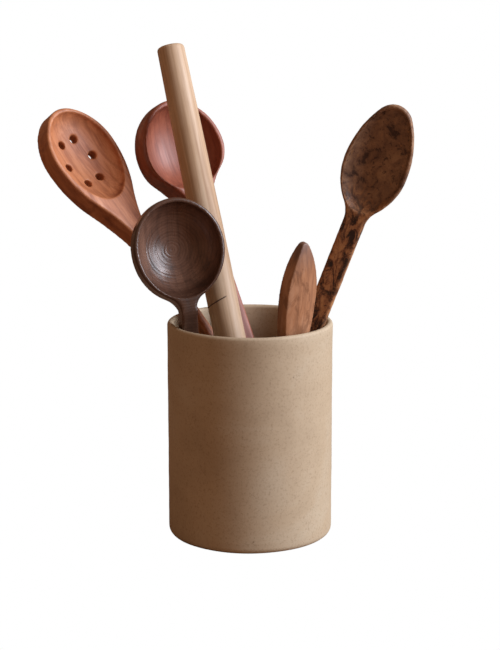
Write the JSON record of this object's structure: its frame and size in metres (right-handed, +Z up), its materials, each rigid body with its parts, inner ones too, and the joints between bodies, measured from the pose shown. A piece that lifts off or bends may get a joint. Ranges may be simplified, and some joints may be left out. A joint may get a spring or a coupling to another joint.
{
  "type": "utensil crock",
  "caption": "Straight-sided stoneware crock holding wooden kitchen utensils: rolling pin, slotted and deep spoons, ladle, serving spoon and spreader, each lifting out along its handle.",
  "frame": {"origin": "centre of the crock's underside", "axes": "+Z up out of the crock's mouth, +X to the right in the picture, +Y away from the viewer"},
  "size_m": [0.3153, 0.1905, 0.4119],
  "materials": {
    "stoneware": "matt",
    "pale_wood": "oiled",
    "cherry_wood": "oiled",
    "red_wood": "oiled",
    "dark_wood": "satin",
    "mottled_wood": "satin",
    "brown_wood": "oiled"
  },
  "bodies": {
    "crock": {"crock": "stoneware"},
    "rolling_pin": {"rolling_pin": "pale_wood"},
    "slotted_spoon": {"slotted_spoon": "cherry_wood"},
    "deep_spoon": {"deep_spoon": "red_wood"},
    "ladle": {"ladle": "dark_wood"},
    "serving_spoon": {"serving_spoon": "mottled_wood"},
    "spreader": {"spreader": "brown_wood"}
  },
  "joints": [
    {"name": "rolling_pin_lift", "type": "slide", "parent": "crock", "child": "rolling_pin", "axis": [-0.2015, 0.2883, 0.9361], "range_m": [0, 0.198]},
    {"name": "slotted_spoon_lift", "type": "slide", "parent": "crock", "child": "slotted_spoon", "axis": [-0.567, 0.1552, 0.809], "range_m": [0, 0.2074]},
    {"name": "deep_spoon_lift", "type": "slide", "parent": "crock", "child": "deep_spoon", "axis": [-0.3238, 0.2205, 0.9201], "range_m": [0, 0.2026]},
    {"name": "ladle_lift", "type": "slide", "parent": "crock", "child": "ladle", "axis": [-0.0293, -0.1494, 0.9883], "range_m": [0, 0.19]},
    {"name": "serving_spoon_lift", "type": "slide", "parent": "crock", "child": "serving_spoon", "axis": [0.343, -0.1188, 0.9318], "range_m": [0, 0.2016]},
    {"name": "spreader_lift", "type": "slide", "parent": "crock", "child": "spreader", "axis": [0.0969, -0.2289, 0.9686], "range_m": [0, 0.1933]}
  ]
}
